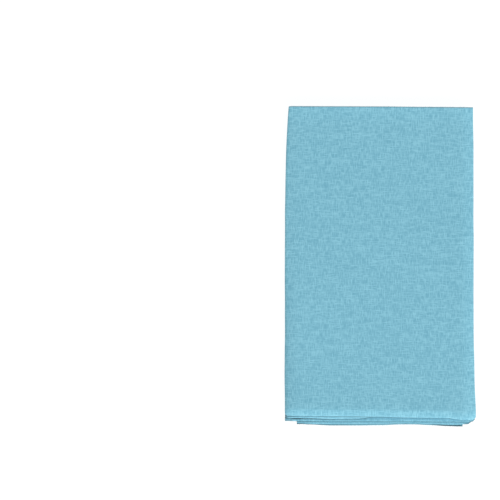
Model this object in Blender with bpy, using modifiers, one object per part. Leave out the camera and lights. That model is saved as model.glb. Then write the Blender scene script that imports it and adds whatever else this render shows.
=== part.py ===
"""Tenugui towel, a plain-woven cotton cloth of 34.5 x 100 cm, folded flat for the shelf.

The cloth is folded in three along its length, which gives a strip three plies thick, and the strip is
then laid back and forth in five layers. The solid is that strip: one sheet, followed from its cut end
against the table, up through four turns, to its cut end on top.

The model is in metres and lies on z = 0, centred on x and y. The foot of the stack is towards -y, where
its folds step out from under each other, and the head is towards +y, where the top layer covers them.
"""

from collections import namedtuple
import math

import bmesh
import bpy

TOWEL = "towel"

MM = 0.001
STRIP_THICKNESS = 1.45 * MM
EDGE_ROUNDING = 0.45 * MM
EDGE_ROUNDING_STEPS = 2
SHARP_EDGE = math.radians(60)
PITCH_MIDDLE = 1.76 * MM
PITCH_AT_FOLDS = 2.00 * MM
PILLOW_POWER = 3
EDGE_POWER = 3
CORNER_POWER = 40

STEPS_ALONG_A_LAYER = 8
STEPS_ROUND_A_TURN = 8
STEPS_ACROSS = 24
GRID_HALF = 0.5

CLOTH_BLUE = (0.216, 0.503, 0.620, 1.0)
CLOTH_ROUGHNESS = 0.92

# Where the strip ends or turns, from the table up, in millimetres. x_left and x_right are the strip's two
# edges there, soft_left and soft_right are how far a fold's corners are drawn in, and reach is how far the
# outside of the cloth comes, at five even steps from left to right.
Turn = namedtuple("Turn", "name x_left x_right soft_left soft_right reach")
TURNS = (
    Turn("cut end on the table", -60.6, 58.9, 0, 0, (-100.5, -101.5, -101.0, -101.0, -102.4)),
    Turn("lower fold at the head", -58.2, 58.0, 0, 0, (99.8, 99.9, 100.2, 100.0, 99.6)),
    Turn("lower fold at the foot", -60.5, 59.0, 0.4, 0.9, (-97.6, -97.5, -95.6, -95.8, -95.6)),
    Turn("upper fold at the head", -58.0, 58.6, 0.8, 0.8, (100.9, 100.8, 100.5, 100.4, 100.1)),
    Turn("upper fold at the foot", -60.8, 60.7, 0.3, 0.9, (-95.6, -95.8, -96.2, -97.0, -96.6)),
    Turn("cut end on top", -58.4, 59.3, 0, 0, (102.2, 102.1, 102.0, 101.6, 101.5)),
)

# At the cut end on the table the two side plies reach further than the ply that joins them. They stop short
# of the strip's two edges, so the end steps back there. In millimetres, left corner and then right.
FreeCorner = namedtuple("FreeCorner", "inset step_back")
FREE_CORNERS = (FreeCorner(7.0, 2.0), FreeCorner(6.4, 3.0))

# The strip's two edges halfway along each layer, from the table up, in millimetres.
Layer = namedtuple("Layer", "name x_left x_right")
LAYERS = (
    Layer("bottom", -60.2, 58.6),
    Layer("fourth", -60.0, 58.8),
    Layer("third", -59.8, 59.0),
    Layer("second", -60.2, 59.2),
    Layer("top", -60.7, 59.5),
)

HALF_LENGTH = 100.0 * MM


def clear_scene():
    for thing in list(bpy.data.objects):
        bpy.data.objects.remove(thing)


def pitch_at(y):
    """Height from one layer to the next, which is least in the middle of the stack, where it was pressed."""
    share = min(1.0, abs(y) / HALF_LENGTH)
    return PITCH_MIDDLE + (PITCH_AT_FOLDS - PITCH_MIDDLE) * share**PILLOW_POWER


def height(layer, y):
    """Middle of a layer's thickness. The bottom layer lies flat."""
    return STRIP_THICKNESS / 2 + layer * pitch_at(y)


def reach(turn, across):
    """How far the cloth reaches at a turn. across runs from -1 at the left edge to 1 at the right."""
    gaps = len(turn.reach) - 1
    place = (across + 1) / 2 * gaps
    before = min(int(place), gaps - 1)
    share = place - before
    eased = share * share * (3 - 2 * share)
    near, far = turn.reach[before], turn.reach[before + 1]
    return (near + (far - near) * eased) * MM


def fold_reach(turn, across):
    """The reach of a fold, whose two corners are drawn in and soft."""
    square = reach(turn, across)
    soft = turn.soft_left if across < 0 else turn.soft_right
    return square - math.copysign(soft * MM, square) * abs(across) ** CORNER_POWER


def table_end_reach(across):
    """The reach of the cut end on the table, which steps back beside the strip's edges."""
    turn = TURNS[0]
    corner = FREE_CORNERS[0] if across < 0 else FREE_CORNERS[1]
    from_edge = (1 - abs(across)) * (turn.x_right - turn.x_left) / 2
    step_back = corner.step_back * MM if from_edge < corner.inset else 0
    return reach(turn, across) + step_back


def side(start, middle, end, along):
    """An edge of the strip, along a layer from 0 at its start to 1 at its end."""
    from_middle = 2 * along - 1
    goal = end if from_middle > 0 else start
    return (middle + (goal - middle) * abs(from_middle) ** EDGE_POWER) * MM


def place_across(left, right, across):
    return (left + right) / 2 + across * (right - left) / 2


def turn_centre(level, across):
    """y of the middle of the half circle in which the strip goes from one layer up to the next."""
    outside = fold_reach(TURNS[level + 1], across)
    inwards = -math.copysign(1, outside)
    return outside + inwards * (STRIP_THICKNESS / 2 + PITCH_AT_FOLDS / 2)


def layer_ends(level, across):
    """y at which a layer starts and ends: at the cut ends, or where a half circle begins."""
    start = table_end_reach(across) if level == 0 else turn_centre(level - 1, across)
    last = len(LAYERS) - 1
    end = reach(TURNS[-1], across) if level == last else turn_centre(level, across)
    return start, end


def layer_point(level, along, across):
    first, last, middle = TURNS[level], TURNS[level + 1], LAYERS[level]
    start, end = layer_ends(level, across)
    y = start + (end - start) * along
    left = side(first.x_left, middle.x_left, last.x_left, along)
    right = side(first.x_right, middle.x_right, last.x_right, along)
    return place_across(left, right, across), y, height(level, y)


def turn_point(level, along, across):
    """A point of the half circle above a layer, from 0 on that layer to 1 on the next."""
    turn = TURNS[level + 1]
    centre = turn_centre(level, across)
    outwards = math.copysign(1, centre)
    low, high = height(level, centre), height(level + 1, centre)
    radius = (high - low) / 2
    angle = math.pi * along
    x = place_across(turn.x_left * MM, turn.x_right * MM, across)
    return x, centre + outwards * radius * math.sin(angle), low + radius * (1 - math.cos(angle))


def stations():
    """Each row of points along the strip: the function that places it, its layer and its share of the way."""
    rows = [(layer_point, 0, 0.0)]
    for level in range(len(LAYERS)):
        for step in range(1, STEPS_ALONG_A_LAYER + 1):
            even = step / STEPS_ALONG_A_LAYER
            rows.append((layer_point, level, (1 - math.cos(math.pi * even)) / 2))
        if level < len(LAYERS) - 1:
            for step in range(1, STEPS_ROUND_A_TURN):
                rows.append((turn_point, level, step / STEPS_ROUND_A_TURN))
            rows.append((layer_point, level + 1, 0.0))
    return rows


def folded_sheet():
    """A flat grid whose rows are moved onto the folds, with its columns closest at the strip's edges."""
    rows = stations()
    grid = bmesh.new()
    bmesh.ops.create_grid(grid, x_segments=STEPS_ACROSS, y_segments=len(rows) - 1, size=GRID_HALF)
    for point in grid.verts:
        across = math.sin(math.pi * point.co.x)
        row = round((point.co.y + GRID_HALF) * (len(rows) - 1))
        place, level, along = rows[row]
        point.co = place(level, along, across)
    mesh = bpy.data.meshes.new(TOWEL)
    grid.to_mesh(mesh)
    grid.free()
    return mesh


def cloth_material():
    material = bpy.data.materials.new("cloth")
    material.use_nodes = True
    shader = material.node_tree.nodes["Principled BSDF"]
    shader.inputs["Base Color"].default_value = CLOTH_BLUE
    shader.inputs["Roughness"].default_value = CLOTH_ROUGHNESS
    shader.inputs["Metallic"].default_value = 0.0
    return material


def towel(collection):
    """The towel's strip, given its thickness about the sheet that the folds follow."""
    mesh = folded_sheet()
    mesh.materials.append(cloth_material())
    piece = bpy.data.objects.new(TOWEL, mesh)
    collection.objects.link(piece)
    thickness = piece.modifiers.new("thickness", "SOLIDIFY")
    thickness.thickness = STRIP_THICKNESS
    thickness.offset = 0
    thickness.use_even_offset = True
    rounding = piece.modifiers.new("rounded edges", "BEVEL")
    rounding.width = EDGE_ROUNDING
    rounding.segments = EDGE_ROUNDING_STEPS
    rounding.limit_method = "ANGLE"
    rounding.angle_limit = SHARP_EDGE
    mesh.shade_smooth()
    return piece


def main():
    clear_scene()
    collection = bpy.data.collections.new("tenugui_towel")
    bpy.context.scene.collection.children.link(collection)
    towel(collection)


main()
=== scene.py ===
"""Dresses a folded towel of plain-woven cotton: the cloth as one thin sheet on the folds of its solid, the
threads of its two cut ends, and a plain studio."""

from collections import namedtuple
import math

import bmesh
import bpy
from bpy.props import FloatProperty, FloatVectorProperty, IntProperty, PointerProperty
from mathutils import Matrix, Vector, noise


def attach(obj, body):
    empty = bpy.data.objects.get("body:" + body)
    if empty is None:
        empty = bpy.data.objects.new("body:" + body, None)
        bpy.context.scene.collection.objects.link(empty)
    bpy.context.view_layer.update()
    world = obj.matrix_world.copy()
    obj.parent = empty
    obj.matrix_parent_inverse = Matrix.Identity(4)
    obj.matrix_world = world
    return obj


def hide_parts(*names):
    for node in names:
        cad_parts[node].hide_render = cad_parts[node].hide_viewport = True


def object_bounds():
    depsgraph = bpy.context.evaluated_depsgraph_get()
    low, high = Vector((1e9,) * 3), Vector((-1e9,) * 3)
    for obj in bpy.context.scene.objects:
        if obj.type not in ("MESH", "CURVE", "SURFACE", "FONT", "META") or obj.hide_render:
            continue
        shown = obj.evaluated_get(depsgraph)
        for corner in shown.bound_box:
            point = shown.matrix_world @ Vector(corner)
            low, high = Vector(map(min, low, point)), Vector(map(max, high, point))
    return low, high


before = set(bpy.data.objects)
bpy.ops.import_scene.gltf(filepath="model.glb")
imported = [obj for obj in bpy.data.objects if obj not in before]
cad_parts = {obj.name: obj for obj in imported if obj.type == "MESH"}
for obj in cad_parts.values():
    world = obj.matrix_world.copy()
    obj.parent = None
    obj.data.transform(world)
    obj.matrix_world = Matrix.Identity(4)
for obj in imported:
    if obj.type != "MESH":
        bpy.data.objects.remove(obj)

bl_info = {
    "name": "Folded Towel",
    "version": (1, 0, 0),
    "blender": (4, 5, 0),
    "location": "3D View > Sidebar > Towel",
    "description": "Makes a towel of plain-woven cotton, folded flat, with its cut ends and a plain studio",
    "category": "Add Mesh",
}

MM = 0.001
SOLID = "towel"
BODY = "root"
CAD_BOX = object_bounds()
LAYER_COUNT = 5
TOP_LEVEL = LAYER_COUNT - 1

# The strip's two edges, followed along the strip from its cut end on the table to its cut end on top, in
# millimetres. Every second row is halfway along a layer.
Sides = namedtuple("Sides", "place left right")
SIDES = (
    Sides("cut end on the table", -60.6, 60.6),
    Sides("bottom layer", -60.2, 58.6),
    Sides("lower fold at the head", -58.2, 58.0),
    Sides("fourth layer", -60.0, 58.8),
    Sides("lower fold at the foot", -60.5, 59.0),
    Sides("third layer", -59.8, 59.0),
    Sides("upper fold at the head", -58.0, 58.6),
    Sides("second layer", -60.2, 59.2),
    Sides("upper fold at the foot", -60.8, 61.1),
    Sides("top layer", -60.7, 59.6),
    Sides("cut end on top", -58.4, 59.3),
)

# How far the cloth reaches towards the foot, in millimetres, across the stack: the outsides of the two folds
# there, and the cut end on the table, where each of the strip's three plies ends by itself.
Foot = namedtuple("Foot", "x upper_fold lower_fold upper_ply middle_ply lower_ply")
FOOT = (
    Foot(-60, -95.3, -96.7, -98.6, -98.6, -98.6),
    Foot(-55.5, -95.3, -96.7, -98.7, -98.7, -98.7),
    Foot(-54.5, -95.3, -96.7, -98.7, -100.7, -98.7),
    Foot(-47, -95.4, -96.8, -98.8, -100.7, -100.9),
    Foot(-30, -95.5, -97.3, -99.0, -100.7, -101.6),
    Foot(-15, -95.6, -97.1, -98.9, -100.7, -101.6),
    Foot(0, -95.8, -95.6, -98.9, -100.6, -101.4),
    Foot(15, -96.3, -95.4, -99.0, -100.3, -100.9),
    Foot(22, -96.4, -95.5, -99.0, -100.4, -100.9),
    Foot(30, -96.5, -95.5, -99.0, -100.6, -101.3),
    Foot(44, -96.7, -95.6, -99.1, -101.1, -102.0),
    Foot(50, -97.6, -95.6, -99.1, -101.2, -102.2),
    Foot(53, -97.9, -95.6, -99.2, -100.9, -102.2),
    Foot(54, -97.9, -95.6, -99.2, -100.8, -99.2),
    Foot(56.5, -97.9, -95.6, -99.2, -100.7, -99.2),
    Foot(57.7, -97.9, -95.6, -99.1, -99.6, -99.1),
    Foot(59.4, -97.7, -95.6, -98.7, -98.9, -98.7),
    Foot(60.6, -97.0, -95.6, -97.7, -97.9, -97.7),
)

# Painted shade at the foot: how far the cloth's colour is darkened just past the edges that lie on it, from 0
# up to about 1, and more where the shade is wide: past the upper fold, past the lower one, and past the ends
# of the upper and middle plies. The last value is the painted shade at the cut end itself, where the table
# shows past it.
Crevice = namedtuple("Crevice", "x upper_fold lower_fold upper_ply middle_ply outline")
PAINTED_SHADE_AT_FOOT = (
    Crevice(-60, 1.2, 0.9, 0.6, 0.7, 0.8),
    Crevice(-56, 1.6, 1.4, 0.8, 0.9, 0.9),
    Crevice(-54, 1.4, 4.5, 1.6, 1.0, 1.6),
    Crevice(-52, 1.1, 4.0, 1.4, 0.9, 1.4),
    Crevice(-50, 0.9, 1.5, 1.2, 0.8, 1.2),
    Crevice(-38, 0.85, 1.2, 0.9, 0.8, 0.4),
    Crevice(-30, 0.85, 0.9, 0.8, 0.8, 0.6),
    Crevice(-15, 0.8, 0.7, 0.7, 0.8, 0.3),
    Crevice(0, 0.8, 0.5, 0.7, 0.8, 0.1),
    Crevice(30, 0.8, 0.4, 0.7, 0.9, 0.1),
    Crevice(42, 0.6, 0.3, 0.75, 1.2, 1.0),
    Crevice(50, 0.4, 0.1, 0.8, 1.4, 1.5),
    Crevice(60, 0.3, 0, 0.6, 1.2, 1.0),
)

# How far the cloth reaches towards the head, where the folds stay under the cut end on top.
Head = namedtuple("Head", "x upper_fold lower_fold upper_ply middle_ply lower_ply")
HEAD = (
    Head(-60, 100.9, 99.8, 102.0, 101.6, 101.2),
    Head(-30, 100.8, 99.9, 101.9, 101.3, 101.5),
    Head(0, 100.5, 100.2, 101.8, 101.5, 101.1),
    Head(30, 100.4, 100.0, 101.5, 101.1, 101.2),
    Head(60, 100.1, 99.6, 101.3, 101.1, 100.7),
)

# How far the corners of each fold are drawn in, in millimetres.
Corners = namedtuple("Corners", "fold left right")
CORNERS = (
    Corners("lower fold at the head", 0.4, 0.4),
    Corners("lower fold at the foot", 0.4, 0.9),
    Corners("upper fold at the head", 0.8, 0.8),
    Corners("upper fold at the foot", 0.3, 0.6),
)
CORNER_POWER = 40

# The outside of a fold is an ellipse at a power of 1, and flatter and more pointed above it.
FOOT_FOLD_POWER = 1.5
HEAD_FOLD_POWER = 1.15

EDGE_POWER = 3
PILLOW_POWER = 3
HALF_LENGTH = 100 * MM
GRID_HALF = 0.5
STEPS_ACROSS_A_PLY = 40
STEPS_ROUND_A_SIDE = 8
STEPS_ALONG_A_LAYER = 40
STEPS_ROUND_A_FOLD = 14
CLOSER_AT_ENDS = 0.9

# Soft unevenness of the pressed stack. Each row lowers its top, or raises it if the depth is negative, by a
# depth that grows from the start of a stretch to its end, across the stack, along it or both. The power says
# how late it grows. Depths and places are in millimetres.
Slope = namedtuple("Slope", "where across along depth power")
SLOPES = (
    Slope("left margin, past the free edges of the middle plies", (-53.0, -61.0), None, 0.50, 1.3),
    Slope("left margin, where it was pressed most", (-53.0, -61.0), (0.0, -60.0), 0.60, 1.2),
    Slope("left edge, where it was pressed most", (-57.5, -61.0), (30.0, -40.0), 0.80, 1.4),
    Slope("head, over the folds below", None, (92.0, 102.5), -0.85, 1.4),
    Slope("foot, before the folds", None, (-88.5, -94.0), 0.30, 1.6),
)
# Past the free edges of the lower plies the others come down into the gaps. The depth is that of the top.
RIGHT_MARGIN = Slope("right margin", (52.6, 60.5), None, 1.90, 1.3)

# Low waves over the whole stack, in millimetres, each from its own part of the noise.
Wave = namedtuple("Wave", "size height")
WAVES = (Wave(46.0, 0.16), Wave(17.0, 0.05))
WAVES_APART = 9.7

# Each uneven thing reads its own part of the noise.
SEEDS = {
    "left edge": 3, "right edge": 8, "middle ply": 21, "lower ply": 34,
    "warp": 3.1, "weft": 8.4, "sway": 5.0, "depth": 1.7,
}

# Streaks along the threads. Those of the width stay a little behind those of the length. The stronger of the
# two counts, then both together, and the level brings the middle to about 0.
STREAK_DETAIL = 1.5
STREAK_ROUGHNESS = 0.6
WEFT_BEHIND = 0.03
STRONGER_STREAK = 1.3
BOTH_STREAKS = 0.4
STREAK_LEVEL = 1.12

# Threads lie out of line by a share of their pitch, and the depth of the dye changes over a wider distance.
THREAD_SWAY = 0.8
SWAY_DETAIL = 1.0
SWAY_SIZE = 4 * MM
DEPTH_SIZE = 28 * MM

# How much each pattern counts in the paleness of the cotton and in its relief.
STREAKS_IN_COLOUR = 2.2
WEAVE_IN_COLOUR = 0.5
DEPTH_IN_COLOUR = 0.2
STREAKS_IN_RELIEF = 0.5
WEAVE_IN_RELIEF = 0.6
RELIEF_STRENGTH = 0.5
RELIEF = 0.10 * MM

# How far the strip's edges and the free selvedges wander to each side, and over what distance.
EDGE_WANDER = 0.22 * MM
EDGE_WANDER_SIZE = 16 * MM
FREE_EDGE_WANDER = 0.7 * MM
FREE_EDGE_WANDER_SIZE = 45 * MM

# The table glows by itself, so what it reflects is small and shadows on it stay faint.
FLOOR_PAINT = (0.15, 0.15, 0.15)
FLOOR_BELOW = 0.02 * MM

# The painted shade beside an edge ends so far out from it, or as far in under it, and that of a cut end so
# far in from it. Distances are kept as shares of that reach. A cut end so far behind another one shows no
# table, so its painted shade fades out there.
FOLD_CREVICE = 1.3 * MM
PLY_CREVICE = 1.0 * MM
END_CREVICE = 1.3 * MM
END_BEHIND = 0.4 * MM
IN_THE_OPEN = 10.0


class ClothSizes(bpy.types.PropertyGroup):
    """Sizes of the cloth and of its folds"""

    width: FloatProperty(
        name="Width", description="Width of the flat cloth, from selvedge to selvedge",
        default=0.345, min=0.1, unit="LENGTH")
    length: FloatProperty(
        name="Length", description="Length of the flat cloth, from cut end to cut end",
        default=1.0, min=0.3, unit="LENGTH")
    thickness: FloatProperty(
        name="Thickness", description="Thickness of one ply of the cloth",
        default=0.34 * MM, min=0.1 * MM, unit="LENGTH")
    ply_pitch: FloatProperty(
        name="Ply Pitch", description="Height from one ply of the strip to the next",
        default=0.55 * MM, min=0.35 * MM, unit="LENGTH")
    pitch_middle: FloatProperty(
        name="Pitch in the Middle",
        description="Height from one layer to the next, where the stack was pressed",
        default=1.76 * MM, min=1.5 * MM, unit="LENGTH")
    pitch_at_folds: FloatProperty(
        name="Pitch at the Folds", description="Height from one layer to the next, at the head and the foot",
        default=2.0 * MM, min=1.5 * MM, unit="LENGTH")
    foot_fold: FloatProperty(
        name="Folds at the Foot", description="Depth of the outer ply's turn in the folds at the foot",
        default=4.2 * MM, min=1 * MM, unit="LENGTH")
    head_fold: FloatProperty(
        name="Folds at the Head", description="Depth of the outer ply's turn in the folds at the head",
        default=2.6 * MM, min=1 * MM, unit="LENGTH")
    inner_turn: FloatProperty(
        name="Inner Turn", description="Depth of the inner ply's turn in every fold",
        default=1.2 * MM, min=0.4 * MM, unit="LENGTH")
    right_turn: FloatProperty(
        name="Right Edge Turn", description="Depth of the turn from the middle ply to the upper one",
        default=0.45 * MM, min=0.2 * MM, unit="LENGTH")
    left_turn: FloatProperty(
        name="Left Edge Turn", description="Depth of the turn from the upper ply to the lower one",
        default=1.5 * MM, min=0.4 * MM, unit="LENGTH")
    middle_inset: FloatProperty(
        name="Middle Ply's Inset", description="From the strip's left edge to the middle ply's free selvedge",
        default=7.2 * MM, min=2 * MM, unit="LENGTH")
    lower_inset: FloatProperty(
        name="Lower Ply's Inset", description="From the strip's right edge to the lower ply's free selvedge",
        default=8.1 * MM, min=2 * MM, unit="LENGTH")


class ClothFinish(bpy.types.PropertyGroup):
    """Colour and weave of the cloth, and the colour of its painted shade"""

    dye: FloatVectorProperty(
        name="Dye", description="Colour of the dyed cotton", subtype="COLOR", size=3,
        default=(0.158, 0.428, 0.556), min=0, max=1)
    pale_thread: FloatVectorProperty(
        name="Pale Thread", description="Colour of the thick soft threads, which take less dye",
        subtype="COLOR", size=3, default=(0.267, 0.598, 0.731), min=0, max=1)
    # Painted shade: the dark colour that the cloth is blended towards beside the edges at the foot and at the
    # cut end on the table.
    painted_shade_colour: FloatVectorProperty(
        name="Crevice", description="Colour deep between the plies", subtype="COLOR", size=3,
        default=(0.030, 0.085, 0.110), min=0, max=1)
    thread_pitch: FloatProperty(
        name="Thread Pitch", description="From one thread of the weave to the next",
        default=0.42 * MM, min=0.1 * MM, unit="LENGTH")
    slub_width: FloatProperty(
        name="Slub Width", description="Width of the uneven streaks along the threads",
        default=0.6 * MM, min=0.2 * MM, unit="LENGTH")
    slub_length: FloatProperty(
        name="Slub Length", description="Length of the uneven streaks along the threads",
        default=4.2 * MM, min=1 * MM, unit="LENGTH")
    roughness: FloatProperty(
        name="Roughness", description="Roughness of the cotton", subtype="FACTOR",
        default=0.9, min=0, max=1)
    sheen: FloatProperty(
        name="Sheen", description="Soft light on the cotton's fine hairs", subtype="FACTOR",
        default=0.12, min=0, max=1)


class ThreadEnds(bpy.types.PropertyGroup):
    """Sizes of the threads that stand out of the two cut ends"""

    spacing: FloatProperty(
        name="Spacing", description="From one loose thread end to the next",
        default=0.84 * MM, min=0.3 * MM, unit="LENGTH")
    radius: FloatProperty(
        name="Radius", description="Radius of a thread", default=0.09 * MM, min=0.03 * MM, unit="LENGTH")
    shortest: FloatProperty(
        name="Shortest", description="Length of the shortest thread end",
        default=0.12 * MM, min=0, unit="LENGTH")
    longest: FloatProperty(
        name="Longest", description="Length of the longest thread end",
        default=0.5 * MM, min=0.1 * MM, unit="LENGTH")
    lean: FloatProperty(
        name="Lean", description="Most that a thread end leans away from the others",
        default=math.radians(24), min=0, subtype="ANGLE", unit="ROTATION")
    seed: IntProperty(name="Seed", description="Changes which thread ends are long", default=7, min=0)


class StudioSettings(bpy.types.PropertyGroup):
    """The floor, the lights and the camera"""

    lens: FloatProperty(
        name="Lens", description="Focal length of the camera, in millimetres", default=500, min=20)
    frame_width: FloatProperty(
        name="Frame Width", description="Width of the picture, at the height of the towel's face",
        default=318.5 * MM, min=0.05, unit="LENGTH")
    aim: FloatVectorProperty(
        name="Aim", description="The point of the floor below the camera", size=2,
        default=(-82.9 * MM, 10.4 * MM), unit="LENGTH")
    key_power: FloatProperty(
        name="Key Light", description="Power of the large soft light", default=148, min=0, unit="POWER")
    key_size: FloatProperty(
        name="Key Size", description="Width of the large soft light", default=2.6, min=0.1, unit="LENGTH")
    key_place: FloatVectorProperty(
        name="Key Place", description="Where the large soft light stands", size=3,
        default=(1.57, -2.87, 2.3), unit="LENGTH")
    surround: FloatProperty(
        name="Surround", description="Brightness of the white room", default=0.5, min=0)
    floor_glow: FloatProperty(
        name="Floor Glow", description="Light of the lit table from below", default=0.92, min=0)
    floor_size: FloatProperty(
        name="Floor Size", description="Width of the floor", default=8, min=1, unit="LENGTH")


def clamp(value, low=0.0, high=1.0):
    return max(low, min(high, value))


def smooth(share):
    """A share of the way, eased at both ends."""
    share = clamp(share)
    return share * share * (3 - 2 * share)


def mix(first, second, share):
    return first + (second - first) * share


def line(table, column, x):
    """A value across the stack, read smoothly between the rows of a table in millimetres."""
    rows = list(zip(table, table[1:]))
    for before, after in rows:
        if x <= after.x * MM:
            break
    share = smooth((x / MM - before.x) / (after.x - before.x))
    return mix(getattr(before, column), getattr(after, column), share) * MM


def steps(count, part, closer=CLOSER_AT_ENDS):
    """Even shares of a part of the way, gathered towards its two ends, without the last one."""
    places = []
    for step in range(count):
        even = step / count
        places.append((part, mix(even, (1 - math.cos(math.pi * even)) / 2, closer)))
    return places


# Columns go across the cloth, from the middle ply's free selvedge round both sides of the strip to the lower
# ply's. Rows go along it, from the cut end on the table to the cut end on top.
def all_columns():
    return (
        steps(STEPS_ACROSS_A_PLY, "middle")
        + steps(STEPS_ROUND_A_SIDE, "right turn", 0)
        + steps(STEPS_ACROSS_A_PLY, "upper")
        + steps(STEPS_ROUND_A_SIDE, "left turn", 0)
        + steps(STEPS_ACROSS_A_PLY, "lower")
        + [("lower", 1.0)]
    )


def all_rows():
    rows = []
    for level in range(LAYER_COUNT):
        rows += [("layer", *step) for step in steps(STEPS_ALONG_A_LAYER, level)]
        if level < TOP_LEVEL:
            rows += [("fold", *step) for step in steps(STEPS_ROUND_A_FOLD, level, 0)]
    return rows + [("layer", TOP_LEVEL, 1.0)]


def wander(place, size, seed):
    """A smooth random number from -1 to 1, the same on each run."""
    return noise.noise(Vector((place / size, seed, 0.5)))


def strip_sides(level, along):
    """The strip's two edges, on a layer from 0 at its start to 1 at its end."""
    start, middle, end = SIDES[2 * level : 2 * level + 3]
    from_middle = 2 * along - 1
    goal = end if from_middle > 0 else start
    share = abs(from_middle) ** EDGE_POWER
    place = (level + along) * 2 * HALF_LENGTH
    left_wander = EDGE_WANDER * wander(place, EDGE_WANDER_SIZE, SEEDS["left edge"])
    right_wander = EDGE_WANDER * wander(place, EDGE_WANDER_SIZE, SEEDS["right edge"])
    left = mix(middle.left, goal.left, share) * MM + left_wander
    right = mix(middle.right, goal.right, share) * MM + right_wander
    return left, right


def across_strip(column, level, along, sizes):
    """x of a column, and its height above the middle ply, in the strip's cross-section."""
    part, share = column
    left, right = strip_sides(level, along)
    half = sizes.thickness / 2
    pitch = sizes.ply_pitch
    left_centre = left + half + sizes.left_turn
    right_centre = right - half - sizes.right_turn
    place = (level + along) * 2 * HALF_LENGTH
    angle = math.pi * share
    if part == "middle":
        wandered = FREE_EDGE_WANDER * wander(place, FREE_EDGE_WANDER_SIZE, SEEDS["middle ply"])
        return mix(left + sizes.middle_inset + wandered, right_centre, share), 0.0
    if part == "right turn":
        return right_centre + sizes.right_turn * math.sin(angle), pitch * (1 - math.cos(angle)) / 2
    if part == "upper":
        return mix(right_centre, left_centre, share), pitch
    if part == "left turn":
        return left_centre - sizes.left_turn * math.sin(angle), pitch * math.cos(angle)
    wandered = FREE_EDGE_WANDER * wander(place, FREE_EDGE_WANDER_SIZE, SEEDS["lower ply"])
    return mix(left_centre, right - sizes.lower_inset + wandered, share), -pitch


def cut_end(table, column, x):
    """y of a cut end. The three plies end apart, and each side turn leads from one ply's end to the next."""
    part, share = column
    turned = (1 - math.cos(math.pi * share)) / 2
    if part == "right turn":
        return mix(line(table, "middle_ply", x), line(table, "upper_ply", x), turned)
    if part == "left turn":
        return mix(line(table, "upper_ply", x), line(table, "lower_ply", x), turned)
    return line(table, part + "_ply", x)


def pitch_at(y, sizes):
    share = clamp(abs(y) / HALF_LENGTH)
    return mix(sizes.pitch_middle, sizes.pitch_at_folds, share**PILLOW_POWER)


def height(level, y, sizes):
    """Height of the middle ply of a layer."""
    return sizes.ply_pitch + sizes.thickness / 2 + level * pitch_at(y, sizes)


def fold_centre(level, x, sizes):
    """y at which the strip begins to turn from a layer up to the next, and the side that it turns to."""
    corners = CORNERS[level]
    sides = SIDES[2 * level + 2]
    middle = (sides.left + sides.right) / 2 * MM
    across = clamp((x - middle) / ((sides.right - sides.left) / 2 * MM), -1, 1)
    drawn_in = (corners.left if across < 0 else corners.right) * MM * abs(across) ** CORNER_POWER
    fold = "lower_fold" if level < 2 else "upper_fold"
    half = sizes.thickness / 2
    if level % 2:
        return line(FOOT, fold, x) + drawn_in + half + sizes.foot_fold, -1
    return line(HEAD, fold, x) - drawn_in - half - sizes.head_fold, 1


def on_layer(level, along, column, sizes):
    x, raised = across_strip(column, level, along, sizes)
    start = fold_centre(level - 1, x, sizes)[0] if level else cut_end(FOOT, column, x)
    end = fold_centre(level, x, sizes)[0] if level < TOP_LEVEL else cut_end(HEAD, column, x)
    y = mix(start, end, along)
    upwards = -1 if level % 2 else 1
    return x, y, height(level, y, sizes) + upwards * raised


def round_fold(level, share, column, sizes):
    """A point of the fold above a layer. The plies turn one within another, the outer one furthest out."""
    x, raised = across_strip(column, level, 1.0, sizes)
    centre, outwards = fold_centre(level, x, sizes)
    from_strip = -outwards * raised
    outer_share = (from_strip / sizes.ply_pitch + 1) / 2
    at_foot = outwards < 0
    depth = mix(sizes.inner_turn, sizes.foot_fold if at_foot else sizes.head_fold, outer_share)
    power = mix(1, FOOT_FOLD_POWER if at_foot else HEAD_FOLD_POWER, outer_share)
    low, high = height(level, centre, sizes), height(level + 1, centre, sizes)
    angle = math.pi * share
    sunk = math.copysign(abs(math.cos(angle)) ** power, math.cos(angle))
    y = centre + outwards * depth * math.sin(angle) ** power
    return x, y, (low + high) / 2 - ((high - low) / 2 + from_strip) * sunk


def way_through(stretch, place, power):
    """Share of the way through a stretch, raised to a power, or 1 where there is no stretch."""
    if stretch is None:
        return 1.0
    start, end = stretch
    return clamp((place / MM - start) / (end - start)) ** power


def gaps_below(kind, level, share):
    """How many lower plies are missing below a point of the right margin, where each layer lacks one."""
    before, after = 2 * (level // 2) + 1, 2 * ((level + 1) // 2) + 1
    return mix(before, after, (1 - math.cos(math.pi * share)) / 2 if kind == "fold" else 0)


def settled(x, y, z, gaps, sizes):
    """Height of a point once the stack has settled, in proportion to height, so that its layers never meet,
    and at the right margin also into the gaps."""
    top = height(LAYER_COUNT, y, sizes)
    lowered = 0.0
    for slope in SLOPES:
        across = way_through(slope.across, x, slope.power)
        lowered += slope.depth * across * way_through(slope.along, y, slope.power)
    for number, wave in enumerate(WAVES):
        spot = Vector((x / MM / wave.size, y / MM / wave.size, number * WAVES_APART))
        lowered += wave.height * noise.noise(spot)
    lowest = sizes.thickness / 2
    margin = RIGHT_MARGIN
    drooped = margin.depth * way_through(margin.across, x, margin.power) * gaps / LAYER_COUNT
    return lowest + (z - lowest) * (1 - lowered * MM / top) - drooped * MM


def cloth_points(sizes):
    """Every point of the cloth, row by row."""
    places = {"layer": on_layer, "fold": round_fold}
    columns = all_columns()
    points = []
    for kind, level, share in all_rows():
        gaps = gaps_below(kind, level, share)
        row = []
        for column in columns:
            x, y, z = places[kind](level, share, column, sizes)
            row.append(Vector((x, y, settled(x, y, z, gaps, sizes))))
        points.append(row)
    return points


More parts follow.
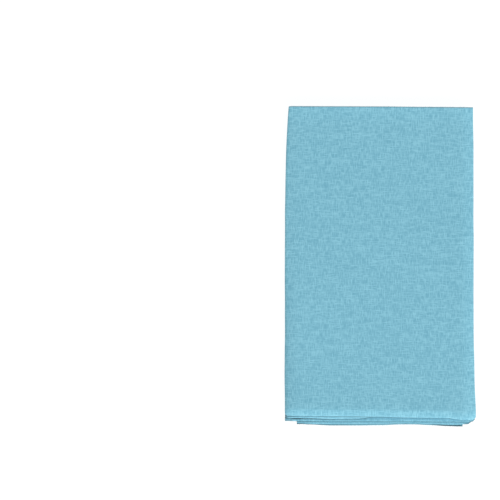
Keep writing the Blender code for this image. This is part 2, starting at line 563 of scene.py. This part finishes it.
def under_edge(row, column, point):
    """How far a point at the foot lies out from the edge that covers it, and how dark its painted shade is.
    """
    kind, level = row[:2]
    part = column[0]
    if point.y > 0 or level > 1 or (level == 1 and kind == "layer") or (level == 0 and kind == "fold"):
        return IN_THE_OPEN, 0.0
    covers = ["upper_fold"]
    if level == 0 and part in ("upper", "left turn", "right turn"):
        covers = ["upper_fold", "lower_fold"]
    elif level == 0:
        covers = ["upper_ply" if part == "middle" else "middle_ply"]
    edge, name = min((line(FOOT, name, point.x), name) for name in covers)
    reach = FOLD_CREVICE if name.endswith("fold") else PLY_CREVICE
    return (edge - point.y) / reach, line(PAINTED_SHADE_AT_FOOT, name, point.x) / MM


def at_cut_end(row, column, point):
    """How far a point at the foot lies in from its ply's cut end, and how dark that end's painted shade is.
    """
    kind, level = row[:2]
    if point.y > 0 or level or kind == "fold":
        return IN_THE_OPEN, 0.0
    end = cut_end(FOOT, column, point.x)
    furthest = min(line(FOOT, name, point.x) for name in ("upper_ply", "middle_ply", "lower_ply"))
    shown = clamp(1 - (end - furthest) / END_BEHIND)
    return (point.y - end) / END_CREVICE, shown * line(PAINTED_SHADE_AT_FOOT, "outline", point.x) / MM


# What each of the two says of a point is kept there under these names, for the painted shade in the shader.
SHADES = (
    (under_edge, ("past_edge", "darkness")),
    (at_cut_end, ("from_end", "end_darkness")),
)


def lengths(points, start):
    """Distances along a line of points, from one of them."""
    along = [0.0]
    for before, after in zip(points, points[1:]):
        along.append(along[-1] + (after - before).length)
    return [place - along[start] for place in along]


def flat_places(points):
    """Where each point lies on the flat cloth, in metres from the middle of its cut end on top."""
    middle = STEPS_ACROSS_A_PLY + STEPS_ROUND_A_SIDE + STEPS_ACROSS_A_PLY // 2
    across = [lengths(row, middle) for row in points]
    along = [lengths(column, len(points) - 1) for column in zip(*points)]
    return [[(across[r][c], along[c][r]) for c in range(len(points[0]))] for r in range(len(points))]


def add_piece(name, mesh, material):
    mesh.materials.append(material)
    piece = bpy.data.objects.new(name, mesh)
    bpy.context.scene.collection.objects.link(piece)
    return piece


def make_cloth(sizes, finish):
    """The cloth: a grid moved onto the folds, with its place on the flat cloth as its UV map."""
    points = cloth_points(sizes)
    flat = flat_places(points)
    rows, columns = all_rows(), all_columns()
    last_row, last_column = len(rows) - 1, len(columns) - 1
    grid = bmesh.new()
    bmesh.ops.create_grid(grid, x_segments=last_column, y_segments=last_row, size=GRID_HALF)
    weave = grid.loops.layers.uv.new("weave")
    shades = {maker: [grid.verts.layers.float.new(name) for name in names] for maker, names in SHADES}
    found = {}
    for point in grid.verts:
        row = round((point.co.y + GRID_HALF) * last_row)
        column = round((point.co.x + GRID_HALF) * last_column)
        found[point] = flat[row][column]
        point.co = points[row][column]
        for maker, layers in shades.items():
            for layer, value in zip(layers, maker(rows[row], columns[column], point.co)):
                point[layer] = value
    for face in grid.faces:
        face.smooth = True
        for corner in face.loops:
            corner[weave].uv = found[corner.vert]
    mesh = bpy.data.meshes.new("towel_cloth")
    grid.to_mesh(mesh)
    grid.free()
    cloth = add_piece("towel_cloth", mesh, cotton(finish))
    shell = cloth.modifiers.new("thickness", "SOLIDIFY")
    shell.thickness = sizes.thickness
    shell.offset = 0
    shell.use_even_offset = True
    return cloth


class Socket:
    """A socket of a node tree, on which sums are written as Python expressions."""

    def __init__(self, graph, socket):
        self.graph = graph
        self.socket = socket

    def other(self, name):
        """Another output of the same node."""
        return Socket(self.graph, self.socket.node.outputs[name])

    def __add__(self, value):
        return self.graph.maths("ADD", self, value)

    def __radd__(self, value):
        return self.graph.maths("ADD", value, self)

    def __sub__(self, value):
        return self.graph.maths("SUBTRACT", self, value)

    def __rsub__(self, value):
        return self.graph.maths("SUBTRACT", value, self)

    def __mul__(self, value):
        return self.graph.maths("MULTIPLY", self, value)

    def __rmul__(self, value):
        return self.graph.maths("MULTIPLY", value, self)

    def __truediv__(self, value):
        return self.graph.maths("DIVIDE", self, value)

    def __rtruediv__(self, value):
        return self.graph.maths("DIVIDE", value, self)

    def __abs__(self):
        return self.graph.maths("ABSOLUTE", self)


class Graph:
    """Adds nodes to a shader tree or a geometry tree, with what feeds them."""

    def __init__(self, tree):
        self.tree = tree

    def add(self, kind, settings=None, inputs=None, output=0):
        node = self.tree.nodes.new(kind)
        for name, value in (settings or {}).items():
            setattr(node, name, value)
        for name, value in (inputs or {}).items():
            if isinstance(value, Socket):
                self.tree.links.new(value.socket, node.inputs[name])
            else:
                node.inputs[name].default_value = value
        return Socket(self, node.outputs[output]) if len(node.outputs) else node

    def maths(self, operation, *values):
        return self.add("ShaderNodeMath", {"operation": operation}, dict(enumerate(values)))

    def vector(self, x, y, z=0.0):
        return self.add("ShaderNodeCombineXYZ", None, {"X": x, "Y": y, "Z": z})

    def noise(self, vector, detail=2.0, roughness=0.5):
        return self.add(
            "ShaderNodeTexNoise", {"noise_dimensions": "3D"},
            {"Vector": vector, "Scale": 1.0, "Detail": detail, "Roughness": roughness}, "Fac")

    def clamped(self, value):
        return self.add("ShaderNodeClamp", None, {"Value": value})

    def blend(self, share, first, second):
        """A colour on the way from the first one to the second."""
        first, second = (value if isinstance(value, Socket) else colour(value) for value in (first, second))
        return self.add("ShaderNodeMix", {"data_type": "RGBA"}, {"Factor": share, 6: first, 7: second}, 2)


def colour(values):
    return (*values, 1.0)


def cotton(finish):
    """Plain-woven, piece-dyed cotton, with the uneven threads that such cloth is liked for."""
    material = bpy.data.materials.new("cotton")
    material.use_nodes = True
    graph = Graph(material.node_tree)
    shader = material.node_tree.nodes["Principled BSDF"]
    place = graph.add("ShaderNodeUVMap", {"uv_map": "weave"})
    split = graph.add("ShaderNodeSeparateXYZ", None, {"Vector": place}, "X")
    across, along = split, split.other("Y")

    # Streaks follow the threads of the length and of the width.
    width, length = finish.slub_width, finish.slub_length
    grain = (STREAK_DETAIL, STREAK_ROUGHNESS)
    warp = graph.noise(graph.vector(across / width, along / length, SEEDS["warp"]), *grain)
    weft = graph.noise(graph.vector(across / length, along / width, SEEDS["weft"]), *grain)
    stronger = graph.maths("MAXIMUM", warp, weft - WEFT_BEHIND)
    streaks = stronger * STRONGER_STREAK + (warp + weft) * BOTH_STREAKS - STREAK_LEVEL

    # Threads go over and under each other in turn, a little out of line.
    pitch = finish.thread_pitch
    sway_place = graph.vector(across / SWAY_SIZE, along / SWAY_SIZE, SEEDS["sway"])
    sway = graph.noise(sway_place, SWAY_DETAIL) - 0.5
    crosswise = graph.maths("SINE", (across / pitch + sway * THREAD_SWAY) * math.pi)
    lengthwise = graph.maths("SINE", (along / pitch - sway * THREAD_SWAY) * math.pi)
    crossing = crosswise * lengthwise
    weave = graph.maths("MAXIMUM", abs(crosswise) + crossing, abs(lengthwise) - crossing) * 0.5

    # Dye takes unevenly over a few centimetres.
    depth = graph.noise(graph.vector(across / DEPTH_SIZE, along / DEPTH_SIZE, SEEDS["depth"])) - 0.5

    paleness = streaks * STREAKS_IN_COLOUR + 0.5 + weave * WEAVE_IN_COLOUR - WEAVE_IN_COLOUR / 2
    paleness = paleness + depth * DEPTH_IN_COLOUR
    tint = graph.blend(graph.clamped(paleness), finish.dye, finish.pale_thread)

    # Painted shade: beside the edges that lie on it, and at the cut end on the table, the cloth's colour is
    # blended
    #     # towards a dark colour, where shade falls between the plies and on the table.
    past_edge, darkness, from_end, end_darkness = (
        graph.add("ShaderNodeAttribute", {"attribute_name": name}, None, "Fac")
        for maker, names in SHADES for name in names)
    outside = graph.clamped(1 - past_edge)
    inside = graph.clamped(past_edge + 1)
    at_end = graph.clamped(1 - from_end)
    shade = outside * outside * inside * darkness + at_end * at_end * end_darkness
    tint = graph.blend(graph.clamped(shade * (0.5 + weft)), tint, finish.painted_shade_colour)
    material.node_tree.links.new(tint.socket, shader.inputs["Base Color"])

    relief = weave * WEAVE_IN_RELIEF + streaks * STREAKS_IN_RELIEF
    bump = graph.add(
        "ShaderNodeBump", None, {"Height": relief, "Strength": RELIEF_STRENGTH, "Distance": RELIEF})
    material.node_tree.links.new(bump.socket, shader.inputs["Normal"])
    shader.inputs["Roughness"].default_value = finish.roughness
    shader.inputs["Sheen Weight"].default_value = finish.sheen
    shader.inputs["Sheen Roughness"].default_value = 0.5
    return material


def end_lines(sizes):
    """The two cut ends as lines of points, each with the way in which its threads stand out."""
    points = cloth_points(sizes)
    mesh = bpy.data.meshes.new("cut_end_lines")
    places, ways, edges = [], [], []
    for end, inside in ((points[0], points[1]), (points[-1], points[-2])):
        first = len(places)
        places += end
        ways += [(outer - inner).normalized() for outer, inner in zip(end, inside)]
        edges += [(first + step, first + step + 1) for step in range(len(end) - 1)]
    mesh.from_pydata(places, edges, [])
    attribute = mesh.attributes.new("way", "FLOAT_VECTOR", "POINT")
    for item, way in zip(attribute.data, ways):
        item.vector = way
    return mesh


def thread_tree():
    """Geometry nodes that set thread ends along lines of points."""
    tree = bpy.data.node_groups.new("cut_end_threads", "GeometryNodeTree")
    tree.interface.new_socket("Geometry", in_out="INPUT", socket_type="NodeSocketGeometry")
    for name in ("Spacing", "Radius", "Shortest", "Longest", "Lean", "Lowest"):
        tree.interface.new_socket(name, in_out="INPUT", socket_type="NodeSocketFloat")
    tree.interface.new_socket("Seed", in_out="INPUT", socket_type="NodeSocketInt")
    tree.interface.new_socket("Material", in_out="INPUT", socket_type="NodeSocketMaterial")
    tree.interface.new_socket("Geometry", in_out="OUTPUT", socket_type="NodeSocketGeometry")
    graph = Graph(tree)
    given = graph.add("NodeGroupInput")
    spacing, radius, lean, seed = (given.other(name) for name in ("Spacing", "Radius", "Lean", "Seed"))

    lines = graph.add("GeometryNodeMeshToCurve", None, {"Mesh": given})
    roots = graph.add("GeometryNodeResampleCurve", {"mode": "LENGTH"}, {"Curve": lines, "Length": spacing})

    # One thread end: a thin cone of unit length, bent to one side.
    cone = graph.add(
        "GeometryNodeMeshCone", {"fill_type": "NONE"},
        {"Vertices": 4, "Side Segments": 3, "Radius Top": 0.45, "Radius Bottom": 1.0, "Depth": 1.0}, "Mesh")
    up = graph.add("ShaderNodeSeparateXYZ", None, {"Vector": graph.add("GeometryNodeInputPosition")}, "Z")
    bent = graph.add(
        "GeometryNodeSetPosition", None, {"Geometry": cone, "Offset": graph.vector(up * up * 2.0, 0.0)})

    way = graph.add(
        "GeometryNodeInputNamedAttribute", {"data_type": "FLOAT_VECTOR"}, {"Name": "way"}, "Attribute")
    aimed = graph.add("FunctionNodeAlignRotationToVector", {"axis": "Z"}, {"Vector": way})
    turns = graph.add(
        "FunctionNodeRandomValue", {"data_type": "FLOAT_VECTOR"},
        {"Min": graph.vector(-1 * lean, -1 * lean, -math.pi), "Max": graph.vector(lean, lean, math.pi),
         "Seed": seed}, "Value")
    leaning = graph.add(
        "FunctionNodeRotateRotation", {"rotation_space": "LOCAL"},
        {"Rotation": aimed, "Rotate By": graph.add("FunctionNodeEulerToRotation", None, {"Euler": turns})})
    long = graph.add(
        "FunctionNodeRandomValue", {"data_type": "FLOAT"},
        {"Min": given.other("Shortest"), "Max": given.other("Longest"), "Seed": seed + 1}, "Value")
    threads = graph.add(
        "GeometryNodeInstanceOnPoints", None,
        {"Points": roots, "Instance": bent, "Rotation": leaning, "Scale": graph.vector(radius, radius, long)})
    whole = graph.add("GeometryNodeRealizeInstances", None, {"Geometry": threads})

    # No thread goes down into the table.
    split = graph.add("ShaderNodeSeparateXYZ", None, {"Vector": graph.add("GeometryNodeInputPosition")}, "X")
    kept = graph.maths("MAXIMUM", split.other("Z"), given.other("Lowest"))
    laid = graph.add(
        "GeometryNodeSetPosition", None,
        {"Geometry": whole, "Position": graph.vector(split, split.other("Y"), kept)})
    dyed = graph.add(
        "GeometryNodeSetMaterial", None, {"Geometry": laid, "Material": given.other("Material")})
    graph.add("NodeGroupOutput", None, {"Geometry": dyed})
    return tree


def set_inputs(modifier, values):
    """Sets a tree's inputs by their identifiers."""
    for item in modifier.node_group.interface.items_tree:
        if item.in_out == "INPUT" and item.name in values:
            modifier[item.identifier] = values[item.name]


def frozen(guide, name, material):
    """What the guide's modifiers make, as a plain mesh in a new object. The guide is removed."""
    shown = guide.evaluated_get(bpy.context.evaluated_depsgraph_get())
    mesh = bpy.data.meshes.new_from_object(shown)
    mesh.name = name
    mesh.materials.clear()
    bpy.data.objects.remove(guide)
    return add_piece(name, mesh, material)


def thread_cotton(finish):
    """The cotton of a single thread end, which shows no weave."""
    material = bpy.data.materials.new("thread cotton")
    material.use_nodes = True
    graph = Graph(material.node_tree)
    shader = material.node_tree.nodes["Principled BSDF"]
    place = graph.add("ShaderNodeTexCoord", None, None, "Object")
    scaled = graph.add("ShaderNodeVectorMath", {"operation": "SCALE"}, {0: place, "Scale": 1 / (0.6 * MM)})
    tint = graph.blend(graph.noise(scaled), finish.dye, finish.pale_thread)
    material.node_tree.links.new(tint.socket, shader.inputs["Base Color"])
    shader.inputs["Roughness"].default_value = finish.roughness
    shader.inputs["Sheen Weight"].default_value = finish.sheen
    return material


def make_threads(sizes, ends, finish):
    guide = bpy.data.objects.new("cut_end_lines", end_lines(sizes))
    bpy.context.scene.collection.objects.link(guide)
    material = thread_cotton(finish)
    modifier = guide.modifiers.new("threads", "NODES")
    modifier.node_group = thread_tree()
    set_inputs(modifier, {
        "Spacing": ends.spacing, "Radius": ends.radius, "Shortest": ends.shortest,
        "Longest": ends.longest, "Lean": ends.lean, "Lowest": 0.0, "Seed": ends.seed, "Material": material,
    })
    return frozen(guide, "cut_end_threads", material)


def plain_paint(name, base, glow):
    material = bpy.data.materials.new(name)
    material.use_nodes = True
    shader = material.node_tree.nodes["Principled BSDF"]
    shader.inputs["Base Color"].default_value = colour(base)
    shader.inputs["Roughness"].default_value = 0.8
    shader.inputs["Emission Color"].default_value = (1, 1, 1, 1)
    shader.inputs["Emission Strength"].default_value = glow
    return material


def make_floor(studio):
    plane = bmesh.new()
    bmesh.ops.create_grid(plane, x_segments=1, y_segments=1, size=studio.floor_size / 2)
    bmesh.ops.translate(plane, verts=plane.verts, vec=(0, 0, CAD_BOX[0].z - FLOOR_BELOW))
    mesh = bpy.data.meshes.new("floor")
    plane.to_mesh(mesh)
    plane.free()
    return add_piece("floor", mesh, plain_paint("pale floor", FLOOR_PAINT, studio.floor_glow))


def make_lights(studio):
    scene = bpy.context.scene
    data = bpy.data.lights.new("key", "AREA")
    data.energy = studio.key_power
    data.size = studio.key_size
    key = bpy.data.objects.new("key", data)
    key.location = studio.key_place
    key.rotation_euler = Vector(studio.key_place).to_track_quat("Z", "Y").to_euler()
    scene.collection.objects.link(key)
    world = bpy.data.worlds.new("white room")
    world.use_nodes = True
    world.node_tree.nodes["Background"].inputs["Color"].default_value = (1, 1, 1, 1)
    world.node_tree.nodes["Background"].inputs["Strength"].default_value = studio.surround
    scene.world = world
    scene.view_settings.view_transform = "Standard"


def make_camera(studio):
    """A long lens straight above, as far up as gives the picture its width at the towel's face."""
    data = bpy.data.cameras.new("camera")
    data.lens = studio.lens
    camera = bpy.data.objects.new("camera", data)
    above = studio.frame_width * studio.lens / data.sensor_width
    camera.location = (studio.aim[0], studio.aim[1], CAD_BOX[1].z + above)
    bpy.context.scene.collection.objects.link(camera)
    bpy.context.scene.camera = camera


class TOWEL_OT_cloth(bpy.types.Operator):
    """Makes the folded cloth as one thin sheet"""

    bl_idname = "towel.cloth"
    bl_label = "Folded Cloth"
    bl_options = {"REGISTER", "UNDO"}

    def execute(self, context):
        cloth = make_cloth(context.scene.towel_sizes, context.scene.towel_finish)
        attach(cloth, BODY)
        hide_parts(SOLID)
        return {"FINISHED"}


class TOWEL_OT_threads(bpy.types.Operator):
    """Makes the thread ends that stand out of the two cut ends"""

    bl_idname = "towel.threads"
    bl_label = "Thread Ends"
    bl_options = {"REGISTER", "UNDO"}

    def execute(self, context):
        scene = context.scene
        threads = make_threads(scene.towel_sizes, scene.towel_threads, scene.towel_finish)
        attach(threads, BODY)
        return {"FINISHED"}


class TOWEL_OT_studio(bpy.types.Operator):
    """Makes the floor, the lights and the camera"""

    bl_idname = "towel.studio"
    bl_label = "Studio"
    bl_options = {"REGISTER", "UNDO"}

    def execute(self, context):
        studio = context.scene.towel_studio
        make_floor(studio)
        make_lights(studio)
        make_camera(studio)
        return {"FINISHED"}


class TOWEL_PT_pieces(bpy.types.Panel):
    """Lists the towel's pieces and their sizes"""

    bl_idname = "TOWEL_PT_pieces"
    bl_label = "Folded Towel"
    bl_space_type = "VIEW_3D"
    bl_region_type = "UI"
    bl_category = "Towel"

    def draw(self, context):
        for operator, settings in PANEL_ROWS:
            group = getattr(context.scene, settings)
            box = self.layout.box()
            box.operator(operator)
            for name in group.__annotations__:
                box.prop(group, name)


PANEL_ROWS = (
    ("towel.cloth", "towel_sizes"),
    ("towel.cloth", "towel_finish"),
    ("towel.threads", "towel_threads"),
    ("towel.studio", "towel_studio"),
)

SETTINGS = (
    ("towel_sizes", ClothSizes),
    ("towel_finish", ClothFinish),
    ("towel_threads", ThreadEnds),
    ("towel_studio", StudioSettings),
)
CLASSES = tuple(group for name, group in SETTINGS) + (
    TOWEL_OT_cloth, TOWEL_OT_threads, TOWEL_OT_studio, TOWEL_PT_pieces)


def register():
    for item in CLASSES:
        bpy.utils.register_class(item)
    for name, group in SETTINGS:
        setattr(bpy.types.Scene, name, PointerProperty(type=group))


def unregister():
    for name, group in SETTINGS:
        delattr(bpy.types.Scene, name)
    for item in reversed(CLASSES):
        bpy.utils.unregister_class(item)


def main():
    register()
    bpy.ops.towel.cloth()
    bpy.ops.towel.threads()
    bpy.ops.towel.studio()


if __name__ == "__main__":
    main()
